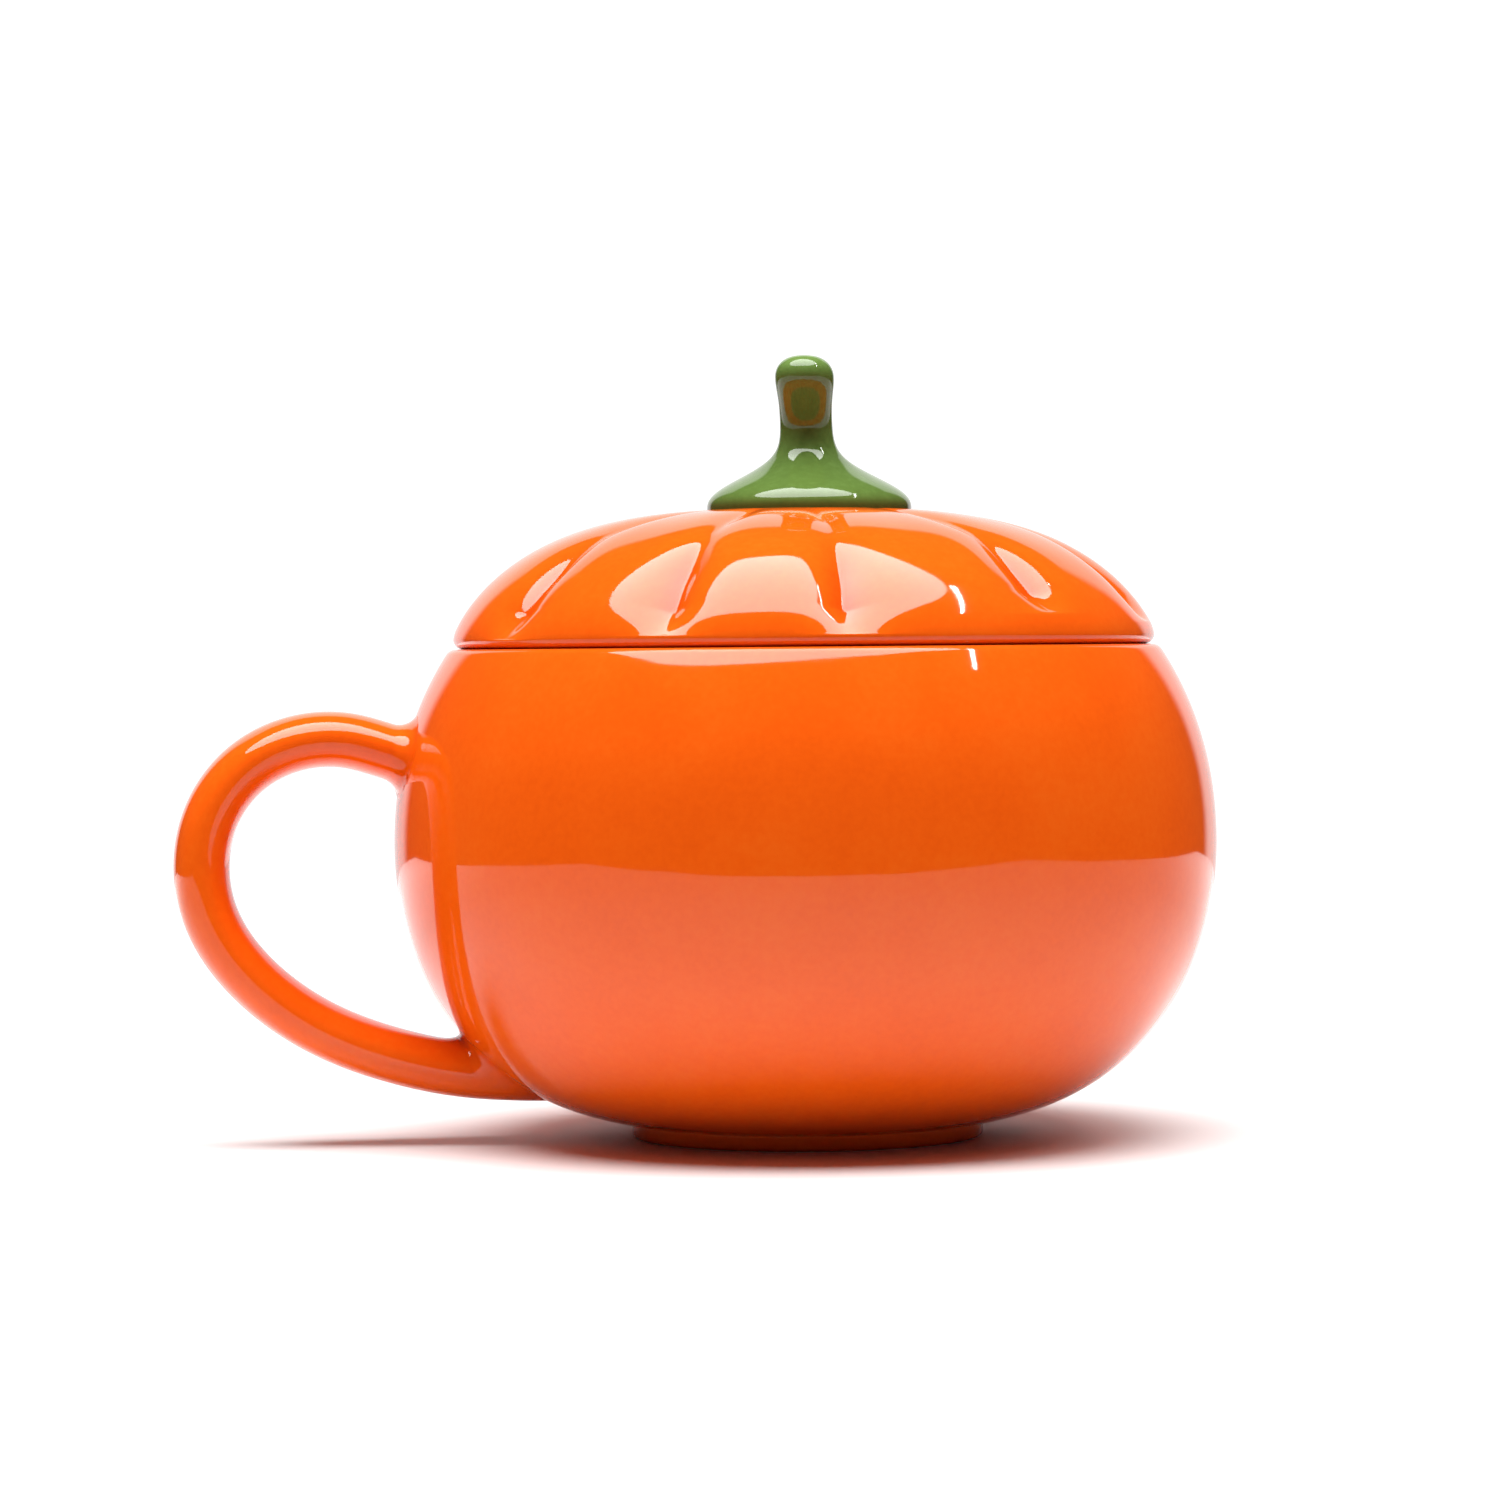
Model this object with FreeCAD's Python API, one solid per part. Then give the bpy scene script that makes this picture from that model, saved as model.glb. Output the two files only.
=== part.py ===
import FreeCAD, Part
import math
import os

os.makedirs("parts", exist_ok=True)

# A lidded pumpkin mug in glazed earthenware. All sizes are in millimetres.
# The origin is the centre of the foot on the table, +Z is up and the handle lies along -X.

# ---- cup ----
cup_radius = 65.0            # widest ring of the belly, outside
cup_height = 77.4            # lip above the table
belly_height = 46.3          # height of the widest ring
shoulder_set_in = 9.0        # how far the lip lies inside the widest ring
cup_wall = 4.5               # wall of the cup
floor_thickness = 4.6        # clay between the foot recess and the inside
lip_round_outer = 1.8        # rounding of the lip outside
lip_round_inner = 1.2        # rounding of the lip inside
shoulder_bulge = 2.36        # how square the wall is above the belly, across
shoulder_rise = 2.1          # the same, upwards
base_bulge = 3.47            # how square the wall is below the belly, across
base_fall = 1.93             # the same, downwards
underside_dome = 1.0         # rise of the underside inside the foot

# ---- foot ring ----
foot_radius = 27.8           # outside radius of the foot ring
foot_height = 2.4            # height of the foot ring
foot_width = 4.5             # width of the ring that stands on the table
foot_round = 0.6             # worn edges of the ring

# ---- handle ----
handle_thickness = 8.8       # across the strap, in the plane of the loop
handle_width = 17.4          # the strap seen from the side away from the cup
handle_top_height = 61.0     # where the middle of the strap leaves the cup
handle_low_height = 10.6     # where it returns
handle_sink = 9.0            # how far both ends run on inside the wall before they are trimmed
handle_flare = 0.16          # how much thicker the strap is at the joints
handle_flare_length = 6.0    # how far the thickening reaches
# middle of the strap between its joints: outward from the widest ring, height above the table
handle_loop = [
    (-4.8, 60.3), (7.0, 63.2), (21.9, 59.9), (28.9, 50.7), (28.9, 36.2),
    (23.2, 27.1), (10.4, 17.6), (0.5, 13.8), (-9.7, 11.5),
]

# ---- lid ----
lid_set_in = 0.6             # how far the lid's rim lies inside the shoulder
lid_height = 21.8            # crown above the seat
lid_roll = 1.5               # rolled lower edge of the lid
lid_wall = 5.6               # wall at the crown
lid_bulge = 3.3              # how square the dome is, across
lid_rise = 1.45              # how square it is, upwards
crown_pad = 12.0             # radius of the flat under the stem
groove_depth = 2.7           # deepest part of the grooves between the lobes
groove_sharpness = 4.0       # how late each lobe falls away into its grooves
groove_softness = 0.8        # rounding of the valley floor
crease_top = 14.0            # radius where the shallow creases over the crown begin
crease_opening = 16.0        # distance over which a crease deepens from there
crease_share = 0.33          # depth of a crease as a share of the groove's
groove_top = 37.0            # radius where the creases deepen into the grooves of the shoulder
groove_opening = 12.0        # distance over which they do
groove_tip_reach = 0.25      # share of the dome over which it deepens from its lower tip
groove_tip_power = 0.8       # how pointed the lower tip is
# grooves round the lid: direction in degrees from +X, height of the lower tip above the seat
grooves = [
    (207.5, 1.4), (240.4, 1.8), (269.6, 1.8), (306.3, 4.8), (341.0, 3.5),
    (379.5, 2.4), (415.5, 4.2), (455.0, 2.8), (490.5, 4.6), (528.5, 3.0),
]

# ---- locating ring under the lid ----
mouth_clearance = 1.1        # play between the ring and the cup's mouth, on the radius
ring_thickness = 3.4         # wall of the ring
ring_drop = 6.0              # how far the ring hangs below the seat
ring_bond = 2.8              # height of ring luted to the inside of the lid
ring_round = 1.2             # rounded lower edges of the ring

# ---- stem ----
stem_height = 24.0           # top of the stem above the crown
calyx_radius = 16.2          # flared foot of the stem
neck_radius = 4.15           # narrowest part
calyx_height = 6.1           # height scale of the flare
calyx_bell = 2.4             # how bell-like the flare is
bulb_swell = 0.5             # extra radius of the bulb at the tip
bulb_spread = 3.0            # half length of the bulb
bulb_drop = 3.6              # middle of the bulb below the top
cap_height = 3.9             # rounded end of the stem
cap_bulge = 2.4              # how square the rounded end is, across
cap_rise = 3.0               # the same, upwards
stem_bend = 4.6              # how far the tip leans out over the calyx
stem_bend_start = 11.8       # height above the crown where the lean begins
stem_bend_end = 21.2         # height above the crown where the lean ends
stem_bend_direction = 262.5  # direction of the lean, degrees from +X
stem_offset = 1.1            # the foot of the stem stands off centre along +X
stem_top_offset = 0.4        # the top of the stem, along +X
stem_embed = 4.0             # stem clay below the crown before it is shaped to the lobes
stem_flat = 0.25             # share of the radius left flat at the very top

# ---- what follows from the values above ----
shoulder_radius = cup_radius - shoulder_set_in
lid_radius = shoulder_radius - lid_set_in
rim_height = cup_height + lid_roll
crown_height = cup_height + lid_height
stem_top = crown_height + stem_height


def smooth_step(share):
    """Rises smoothly from 0 to 1 as the share does, and stays there."""
    share = min(max(share, 0.0), 1.0)
    return share * share * (3.0 - 2.0 * share)


def superellipse_radius(rise, half_height, radius, across, upward):
    """Radius at a height above or below the widest ring of a squared-off oval."""
    share = max(1.0 - (abs(rise) / half_height) ** upward, 0.0)
    return radius * share ** (1.0 / across)


def half_height_through(rise, share, across, upward):
    """Half height that makes the oval pass a given share of its radius at a given rise."""
    return rise / (1.0 - share ** across) ** (1.0 / upward)


upper_half = half_height_through(cup_height - belly_height, shoulder_radius / cup_radius,
                                 shoulder_bulge, shoulder_rise)
lower_half = half_height_through(belly_height - foot_height, (foot_radius + foot_round) / cup_radius,
                                 base_bulge, base_fall)
inner_floor = foot_height + floor_thickness


def cup_outer_radius(height):
    """Outside radius of the cup at a height above the table."""
    if height >= belly_height:
        return superellipse_radius(height - belly_height, upper_half, cup_radius,
                                   shoulder_bulge, shoulder_rise)
    return superellipse_radius(belly_height - height, lower_half, cup_radius, base_bulge, base_fall)


def cup_inner_radius(height):
    """Inside radius of the cup: the same oval with every half axis less the wall."""
    if height >= belly_height:
        return superellipse_radius(height - belly_height, upper_half - cup_wall,
                                   cup_radius - cup_wall, shoulder_bulge, shoulder_rise)
    return superellipse_radius(belly_height - height, belly_height - inner_floor,
                               cup_radius - cup_wall, base_bulge, base_fall)


# the inner wall leans in towards the lip, so rounding the lip's corner opens the mouth a little
mouth_radius = cup_inner_radius(cup_height)
lean_step = 0.01
lip_lean = math.atan((cup_inner_radius(cup_height - lean_step) - mouth_radius) / lean_step)
throat_radius = mouth_radius + lip_round_inner / math.tan(math.pi / 4 - lip_lean / 2) - lip_round_inner
ring_radius = throat_radius - mouth_clearance


def point(radius, height):
    """Point of a profile in the XZ plane."""
    return FreeCAD.Vector(radius, 0, height)


def curve_edge(points):
    """Smooth edge through points of a profile."""
    spline = Part.BSplineCurve()
    spline.interpolate(points)
    return spline.toShape()


def revolve(edges):
    """Solid turned from a closed profile about the Z axis."""
    face = Part.Face(Part.Wire(Part.__sortEdges__(edges)))
    solid = face.revolve(FreeCAD.Vector(0, 0, 0), FreeCAD.Vector(0, 0, 1), 360)
    return solid


def round_lip(solid, radius_of_corner, rounding):
    """Round the edge of the lip that has the given radius."""
    corner = [edge for edge in solid.Edges
              if edge.BoundBox.ZMin > cup_height - lip_tolerance
              and abs(edge.BoundBox.XMax - radius_of_corner) < lip_tolerance]
    return solid.makeFillet(rounding, corner)


def export(shape, node):
    """Write one piece, and say how large it is."""
    shape.exportStep("parts/" + node + ".step")
    box = shape.BoundBox
    print("%-12s solids %d valid %s volume %8.1f mm3  X %.1f..%.1f  Y %.1f..%.1f  Z %.1f..%.1f" % (
        node, len(shape.Solids), shape.isValid(), shape.Volume,
        box.XMin, box.XMax, box.YMin, box.YMax, box.ZMin, box.ZMax))


up = FreeCAD.Vector(0, 0, 1)
lip_tolerance = 0.1          # finds the corners of the lip
profile_steps = 14


def heights_between(low, high, ease):
    """Heights from low to high, closer together at the end that ease names."""
    shares = [index / profile_steps for index in range(profile_steps + 1)]
    if ease == "low":
        shares = [1.0 - math.cos(share * math.pi / 2) for share in shares]
    if ease == "high":
        shares = [math.sin(share * math.pi / 2) for share in shares]
    return [low + (high - low) * share for share in shares]


# ---- cup: turned outside and inside, with a rounded lip ----
def cup_outside():
    """Outside of the cup from the foot to the lip: its edge, its lowest and its highest point."""
    base = [point(cup_outer_radius(height), height)
            for height in heights_between(foot_height, belly_height, "low")]
    shoulder = [point(cup_outer_radius(height), height)
                for height in heights_between(belly_height, cup_height, "even")]
    return curve_edge(base + shoulder[1:]), base[0], shoulder[-1]


def make_cup_solid():
    """The cup as a filled body, which also trims the handle."""
    wall, foot_point, lip_point = cup_outside()
    lip_line = Part.LineSegment(lip_point, point(0, cup_height)).toShape()
    axis_line = Part.LineSegment(point(0, cup_height), point(0, foot_height)).toShape()
    base_line = Part.LineSegment(point(0, foot_height), foot_point).toShape()
    return revolve([wall, lip_line, axis_line, base_line])


def make_cup_body():
    """The cup with its hollow, its rounded lip and a shallow dome under the base."""
    outer_wall, foot_point, lip_point = cup_outside()
    bowl = [point(cup_inner_radius(height), height)
            for height in heights_between(inner_floor, belly_height, "low")]
    throat = [point(cup_inner_radius(height), height)
              for height in heights_between(belly_height, cup_height, "even")]
    inner_wall = curve_edge(bowl + throat[1:])
    lip_line = Part.LineSegment(lip_point, throat[-1]).toShape()
    recess_edge = point(foot_radius - foot_width, foot_height)
    recess_middle = point(recess_edge.x / 2, foot_height + underside_dome * 3 / 4)
    recess_top = point(0, foot_height + underside_dome)
    axis_line = Part.LineSegment(bowl[0], recess_top).toShape()
    recess = Part.Arc(recess_top, recess_middle, recess_edge).toShape()
    base_line = Part.LineSegment(recess_edge, foot_point).toShape()
    cup = revolve([outer_wall, lip_line, inner_wall, axis_line, recess, base_line])
    cup = round_lip(cup, shoulder_radius, lip_round_outer)
    return round_lip(cup, mouth_radius, lip_round_inner)


# ---- foot ring: the unglazed ring that the cup stands on ----
def make_foot_ring():
    """A low ring with worn lower edges."""
    ring = Part.makeCylinder(foot_radius, foot_height)
    ring = ring.cut(Part.makeCylinder(foot_radius - foot_width, foot_height))
    lower_edges = [edge for edge in ring.Edges
                   if edge.BoundBox.ZMax < foot_height / 2 and edge.Length > foot_radius]
    return ring.makeFillet(foot_round, lower_edges)


# ---- handle: an oval strap bent into a loop and luted to the wall ----
def handle_section(centre, along, thickness, width):
    """Oval wire across the strap."""
    across = FreeCAD.Vector(0, 1, 0)
    outward = across.cross(along)
    outward.normalize()
    ellipse = Part.Ellipse(centre + across * (width / 2), centre + outward * (thickness / 2), centre)
    return Part.Wire(ellipse.toShape())


def make_handle(cup_solid):
    """The strap as a loft of ovals along its middle line, trimmed to the cup."""
    top_root = FreeCAD.Vector(handle_sink - cup_outer_radius(handle_top_height), 0, handle_top_height)
    low_root = FreeCAD.Vector(handle_sink - cup_outer_radius(handle_low_height), 0, handle_low_height)
    loop = [FreeCAD.Vector(-(cup_radius + outward), 0, height) for outward, height in handle_loop]
    middle_line = Part.BSplineCurve()
    middle_line.interpolate([top_root] + loop + [low_root])
    length = middle_line.length()
    section_count = 26
    sections = []
    for index in range(section_count + 1):
        distance = length * index / section_count
        parameter = middle_line.parameterAtDistance(distance)
        to_joint = max(min(distance, length - distance) - handle_sink, 0.0)
        flare = 1.0 + handle_flare * math.exp(-to_joint / handle_flare_length)
        sections.append(handle_section(middle_line.value(parameter), middle_line.tangent(parameter)[0],
                                       handle_thickness * flare, handle_width * flare))
    strap = Part.makeLoft(sections, True)
    return strap.cut(cup_solid)


# ---- lid: a lobed dome with a rolled rim, hollow underneath ----
def groove_fall(angle, radius, height):
    """How deep the surface lies below the smooth dome: each lobe falls away to both its grooves."""
    for index in range(len(grooves)):
        first, first_tip = grooves[index]
        if index + 1 < len(grooves):
            second, second_tip = grooves[index + 1]
        else:
            second, second_tip = grooves[0][0] + 360, grooves[0][1]
        if first <= angle <= second:
            break
    half = (second - first) / 2
    across = (angle - first - half) / half
    tip = second_tip if across > 0 else first_tip
    span = math.radians(half) * radius
    valley = (1.0 - abs(across)) * span
    valley = math.sqrt(valley ** 2 + groove_softness ** 2) - groove_softness
    lobe = max(1.0 - valley / span, 0.0) ** groove_sharpness
    crease = crease_share * smooth_step((radius - crease_top) / crease_opening)
    opening = crease + (1.0 - crease_share) * smooth_step((radius - groove_top) / groove_opening)
    fade = min(max((height - cup_height - tip) / (crown_height - cup_height - tip), 0.0), 1.0)
    return groove_depth * lobe * opening * min(fade / groove_tip_reach, 1.0) ** groove_tip_power


def dome_radius(height):
    """Outside radius of the smooth dome."""
    return superellipse_radius(height - rim_height, crown_height - rim_height, lid_radius,
                               lid_bulge, lid_rise)


def dome_height(radius):
    """Height of the smooth dome at a radius."""
    share = (1.0 - (radius / lid_radius) ** lid_bulge) ** (1.0 / lid_rise)
    return rim_height + (crown_height - rim_height) * share


def lid_rows():
    """Radius and height of the rows of the dome from the pad to the seat."""
    rows = []
    crown_rows = 12
    crown_edge = lid_radius * 0.93
    for index in range(crown_rows):
        radius = crown_pad + (crown_edge - crown_pad) * index / (crown_rows - 1)
        rows.append((radius, dome_height(radius)))
    side_rows = 4
    side_top = rows[-1][1]
    for index in range(1, side_rows + 1):
        height = side_top + (rim_height - side_top) * index / side_rows
        rows.append((dome_radius(height), height))
    roll_steps = 4
    for index in range(1, roll_steps + 1):
        turn = math.pi / 2 * index / roll_steps
        rows.append((lid_radius - lid_roll * (1.0 - math.cos(turn)),
                     rim_height - lid_roll * math.sin(turn)))
    return rows


def lid_columns():
    """Directions of the columns: closer together in the valleys than on the lobes."""
    shares = [0.0, 0.05, 0.14, 0.30, 0.5, 0.70, 0.86, 0.95]
    columns = []
    for index in range(len(grooves)):
        first = grooves[index][0]
        second = grooves[(index + 1) % len(grooves)][0] + (360 if index + 1 == len(grooves) else 0)
        columns += [first + (second - first) * share for share in shares]
    return columns


def make_lid_solid():
    """The lid as a filled body, which also shapes the underside of the stem."""
    rows = lid_rows()
    columns = lid_columns()
    poles = []
    for angle in columns:
        direction = FreeCAD.Vector(math.cos(math.radians(angle)), math.sin(math.radians(angle)), 0)
        line = []
        for index, (radius, height) in enumerate(rows):
            before = rows[max(index - 1, 0)]
            after = rows[min(index + 1, len(rows) - 1)]
            slope = math.hypot(after[0] - before[0], after[1] - before[1])
            fall = groove_fall(angle, radius, height)
            inward = fall * (before[1] - after[1]) / slope
            down = fall * (after[0] - before[0]) / slope
            line.append(direction * (radius - inward) + up * (height - down))
        poles.append(line)
    surface = Part.BSplineSurface()
    degree = 3
    round_knots = [float(index) for index in range(len(columns) + 1)]
    down_knots = [float(index) for index in range(len(rows) - degree + 1)]
    down_mults = [degree + 1] + [1] * (len(down_knots) - 2) + [degree + 1]
    surface.buildFromPolesMultsKnots(poles, [1] * len(round_knots), down_mults,
                                     round_knots, down_knots, True, False, degree, degree)
    skin = surface.toShape()
    caps = [Part.Face(Part.Wire([edge])) for edge in skin.Edges if edge.BoundBox.ZLength < 0.01]
    shell = Part.makeShell([skin] + caps)
    shell.sewShape()
    solid = Part.makeSolid(shell)
    if solid.Volume < 0:
        solid.reverse()
    return solid


def make_lid_hollow():
    """The space under the lid: a short straight collar and a smooth dome above it."""
    collar_top = cup_height + ring_bond
    dome_top = crown_height - lid_wall
    heights = heights_between(collar_top, dome_top, "high")
    dome = [point(superellipse_radius(height - collar_top, dome_top - collar_top, ring_radius,
                                      lid_bulge, lid_rise), height) for height in heights]
    edges = [curve_edge(dome)]
    edges.append(Part.LineSegment(dome[-1], point(0, cup_height)).toShape())
    edges.append(Part.LineSegment(point(0, cup_height), point(ring_radius, cup_height)).toShape())
    edges.append(Part.LineSegment(point(ring_radius, cup_height), dome[0]).toShape())
    return revolve(edges)


# ---- locating ring: luted inside the lid, it drops into the mouth ----
def make_lid_ring():
    """A plain ring with rounded lower edges."""
    height = ring_drop + ring_bond
    ring = Part.makeCylinder(ring_radius, height, point(0, cup_height - ring_drop))
    bore = Part.makeCylinder(ring_radius - ring_thickness, height, point(0, cup_height - ring_drop))
    ring = ring.cut(bore)
    lower_edges = [edge for edge in ring.Edges
                   if edge.BoundBox.ZMax < cup_height - ring_drop / 2 and edge.Length > ring_radius]
    return ring.makeFillet(ring_round, lower_edges)


# ---- stem: a bent knob with a flared calyx ----
def stem_radius(rise):
    """Radius of the stem at a height above the crown."""
    flare = (calyx_radius - neck_radius) * math.exp(-(max(rise, 0.0) / calyx_height) ** calyx_bell)
    bulb = bulb_swell * math.exp(-((rise - stem_height + bulb_drop) / bulb_spread) ** 2)
    cap = max((rise - stem_height + cap_height) / cap_height, 0.0)
    closing = max(1.0 - cap ** cap_rise, 0.0) ** (1.0 / cap_bulge)
    return (neck_radius + flare + bulb) * max(closing, stem_flat)


def stem_centre(rise):
    """Middle of the stem: it stands off centre and leans out towards its tip."""
    lean = stem_bend * smooth_step((rise - stem_bend_start) / (stem_bend_end - stem_bend_start))
    aside = stem_offset + (stem_top_offset - stem_offset) * max(rise, 0.0) / stem_height
    turn = math.radians(stem_bend_direction)
    return FreeCAD.Vector(aside + lean * math.cos(turn), lean * math.sin(turn), crown_height + rise)


def make_stem(lid_solid):
    """The stem as a loft of circles, shaped underneath to the lobes that it is luted to."""
    body_steps = 15
    cap_steps = 5
    cap_base = stem_height - cap_height
    rises = [-stem_embed, 0.0]
    rises += [cap_base * index / body_steps for index in range(1, body_steps + 1)]
    rises += [cap_base + cap_height * math.sin(math.pi / 2 * index / cap_steps)
              for index in range(1, cap_steps + 1)]
    circles = [Part.Wire(Part.makeCircle(stem_radius(rise), stem_centre(rise))) for rise in rises]
    stem = Part.makeLoft(circles, True)
    return stem.cut(lid_solid)


cup_solid = make_cup_solid()
lid_solid = make_lid_solid()
export(make_cup_body(), "cup_body")
export(make_foot_ring(), "foot_ring")
export(make_handle(cup_solid), "handle")
export(lid_solid.cut(make_lid_hollow()), "lid_dome")
export(make_lid_ring(), "lid_ring")
export(make_stem(lid_solid), "stem")
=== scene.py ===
import math

import bpy
import numpy as np
from mathutils import Matrix, Vector


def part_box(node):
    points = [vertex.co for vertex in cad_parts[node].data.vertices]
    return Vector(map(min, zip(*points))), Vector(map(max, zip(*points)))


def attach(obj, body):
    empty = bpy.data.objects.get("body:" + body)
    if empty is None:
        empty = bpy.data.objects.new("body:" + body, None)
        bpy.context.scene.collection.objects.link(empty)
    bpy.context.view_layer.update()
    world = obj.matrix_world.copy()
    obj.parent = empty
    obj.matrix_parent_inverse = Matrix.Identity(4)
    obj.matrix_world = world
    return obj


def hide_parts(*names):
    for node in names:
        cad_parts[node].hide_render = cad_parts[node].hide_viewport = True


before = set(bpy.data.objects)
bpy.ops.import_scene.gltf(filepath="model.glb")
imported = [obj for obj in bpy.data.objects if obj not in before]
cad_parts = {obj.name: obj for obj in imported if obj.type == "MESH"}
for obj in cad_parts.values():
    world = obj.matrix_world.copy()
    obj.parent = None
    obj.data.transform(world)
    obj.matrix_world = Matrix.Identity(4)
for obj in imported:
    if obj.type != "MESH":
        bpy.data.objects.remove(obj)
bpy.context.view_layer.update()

# ---------------------------------------------------------------------------------------------
# The cup: a slip-cast earthenware bowl, round as a pumpkin, with its wall turned in to a
# rounded lip. It is dipped in orange glaze outside and poured with a cream liner glaze inside.
# ---------------------------------------------------------------------------------------------
cup_low, cup_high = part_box("cup_body")
foot_low, foot_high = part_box("foot_ring")
cup_radius = cup_high.x
cup_base = cup_low.z
lip_height = cup_high.z
belly_height = 0.0463            # the widest ring, above the table
shoulder_set_in = 0.009          # how far the lip lies inside the widest ring
cup_wall = 0.0045
floor_thickness = 0.0046
foot_radius = foot_high.x
foot_width = 0.0045              # clay of the foot ring, across
foot_round = 0.0006              # worn edges of the foot ring
underside_dome = 0.001           # rise of the underside inside the foot ring
lip_round_outside = 0.0018
lip_round_inside = 0.0012
# how square the wall is above and below the belly: across, then upwards
wall_across_up, wall_up = 2.36, 2.1
wall_across_down, wall_down = 3.47, 1.93
shoulder_radius = cup_radius - shoulder_set_in
cup_floor = cup_base + floor_thickness


def oval_half_height(rise, share, across, upward):
    """Half height of the oval that keeps a share of its radius at a rise:
    rise over (1 - share^across)^(1/upward)."""
    return rise / (1 - share ** across) ** (1 / upward)


upper_half = oval_half_height(lip_height - belly_height, shoulder_radius / cup_radius,
                              wall_across_up, wall_up)
lower_half = oval_half_height(belly_height - cup_base, (foot_radius + foot_round) / cup_radius,
                              wall_across_down, wall_down)


def oval_radius(height, radius, above, below):
    """Radius at a height: radius times (1 - (rise / half height)^upward)^(1/across), with one pair of
    powers above the belly and another pair below it."""
    rise = height - belly_height
    up_share = np.clip(1 - (np.clip(rise, 0, None) / above) ** wall_up, 0, 1)
    down_share = np.clip(1 - (np.clip(-rise, 0, None) / below) ** wall_down, 0, 1)
    return radius * up_share ** (1 / wall_across_up) * down_share ** (1 / wall_across_down)


def cup_outside(height):
    """Outside radius of the cup at a height: the oval through the belly, the lip and the foot."""
    return oval_radius(height, cup_radius, upper_half, lower_half)


def cup_inside(height):
    """Inside radius of the cup: the same oval, every half axis less the wall."""
    return oval_radius(height, cup_radius - cup_wall, upper_half - cup_wall, belly_height - cup_floor)


def eased(low, high, count, ends):
    """Values from low to high that crowd towards the low end, the high end or both: the share of the
    way is one less the cosine, the sine, or half of one less the cosine, of an even turn."""
    share = np.linspace(0, 1, count)
    shares = {"low": 1 - np.cos(share * np.pi / 2),
              "high": np.sin(share * np.pi / 2),
              "both": (1 - np.cos(share * np.pi)) / 2}
    return low + (high - low) * shares[ends]


def rounded_corner(before, corner, after, rounding, count):
    """Arc of a circle tangent to the two lines that meet in the corner: its centre is on the line that
    halves the corner, and its radius turns evenly from one line to the other."""
    back = (before - corner) / np.hypot(*(before - corner))
    on = (after - corner) / np.hypot(*(after - corner))
    half = math.acos(float(np.clip(back @ on, -1, 1))) / 2
    middle = (back + on) / np.hypot(*(back + on))
    centre = corner + middle * rounding / math.sin(half)
    start = corner + back * rounding / math.tan(half) - centre
    end = corner + on * rounding / math.tan(half) - centre
    turn = math.pi - 2 * half
    share = np.linspace(0, 1, count)[:, None]
    return centre + (start * np.sin((1 - share) * turn) + end * np.sin(share * turn)) / math.sin(turn)


def turned(profile, columns):
    """Points of a profile of (radius, height) turned about Z: radius times cosine, radius times sine
    and height, row by row."""
    angle = np.linspace(0, 2 * np.pi, columns, endpoint=False)
    radius, height = profile[:, :1], profile[:, 1:]
    return np.stack([radius * np.cos(angle), radius * np.sin(angle), height + 0 * angle], -1)


def grid_mesh(name, points, poles=()):
    """Closed skin over points[row, column], round in its columns. Two poles close its ends with fans;
    without poles the last row meets the first, as on a ring."""
    rows, columns = points.shape[:2]
    vertices = points.reshape(-1, 3)
    number = np.arange(rows * columns).reshape(rows, columns)
    if not poles:
        number = np.vstack([number, number[:1]])
    following = np.roll(number, -1, axis=1)
    faces = np.stack([number[:-1], following[:-1], following[1:], number[1:]], -1).reshape(-1, 4).tolist()
    if poles:
        vertices = np.vstack([vertices, poles])
        low_pole = np.full(columns, rows * columns)
        faces += np.stack([low_pole, following[0], number[0]], -1).tolist()
        faces += np.stack([low_pole + 1, number[-1], following[-1]], -1).tolist()
    mesh = bpy.data.meshes.new(name)
    mesh.from_pydata(vertices, [], faces)
    mesh.polygons.foreach_set("use_smooth", np.ones(len(mesh.polygons), bool))
    mesh.update()
    piece = bpy.data.objects.new(name, mesh)
    bpy.context.scene.collection.objects.link(piece)
    return piece


def paint(piece, points, pool=0.0, liner=0.0, bare=0.0, liner_poles=(0.0, 0.0)):
    """Keeps three numbers at every point of the piece's grid, 0 where none is given: pool, how deep the
    glaze has run together; liner, 1 under the cream glaze; bare, 1 where the clay is wiped clean."""
    count = len(piece.data.vertices)
    for layer, values, poles in (("pool", pool, (0.0, 0.0)),
                                 ("liner", liner, liner_poles),
                                 ("bare", bare, (0.0, 0.0))):
        every = np.append(np.broadcast_to(values, points.shape[:2]), poles)[:count]
        attribute = piece.data.attributes.new(layer, "FLOAT", "POINT")
        attribute.data.foreach_set("value", every.astype(np.float32))


cup_columns = 320
wall_rows, liner_rows, corner_rows, recess_rows = 60, 50, 14, 16
lean_rows_outside, lean_rows_inside = 3, 4   # rows below the lip that give the lean of the wall there
middle_gap = 0.001                           # rows nearer the axis than this are left to the pole
liner_line, liner_blend = 8, 6               # rows of the mouth before and across the cream's edge
outside_heights = np.concatenate([eased(cup_base, belly_height, wall_rows, "low"),
                                  np.linspace(belly_height, lip_height, wall_rows)[1:]])
outside = np.stack([cup_outside(outside_heights), outside_heights], -1)
inside_heights = np.concatenate([eased(cup_floor, belly_height, liner_rows, "low"),
                                 np.linspace(belly_height, lip_height, liner_rows)[1:]])
inside = np.stack([cup_inside(inside_heights), inside_heights], -1)[::-1]
lip_corner, mouth_corner = outside[-1], inside[0]
lip_arc = rounded_corner(outside[-1 - lean_rows_outside], lip_corner, mouth_corner,
                         lip_round_outside, corner_rows)
mouth_arc = rounded_corner(lip_corner, mouth_corner, inside[lean_rows_inside],
                           lip_round_inside, corner_rows)
recess_radii = np.linspace(0, foot_radius - foot_width, recess_rows)[1:]
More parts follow.
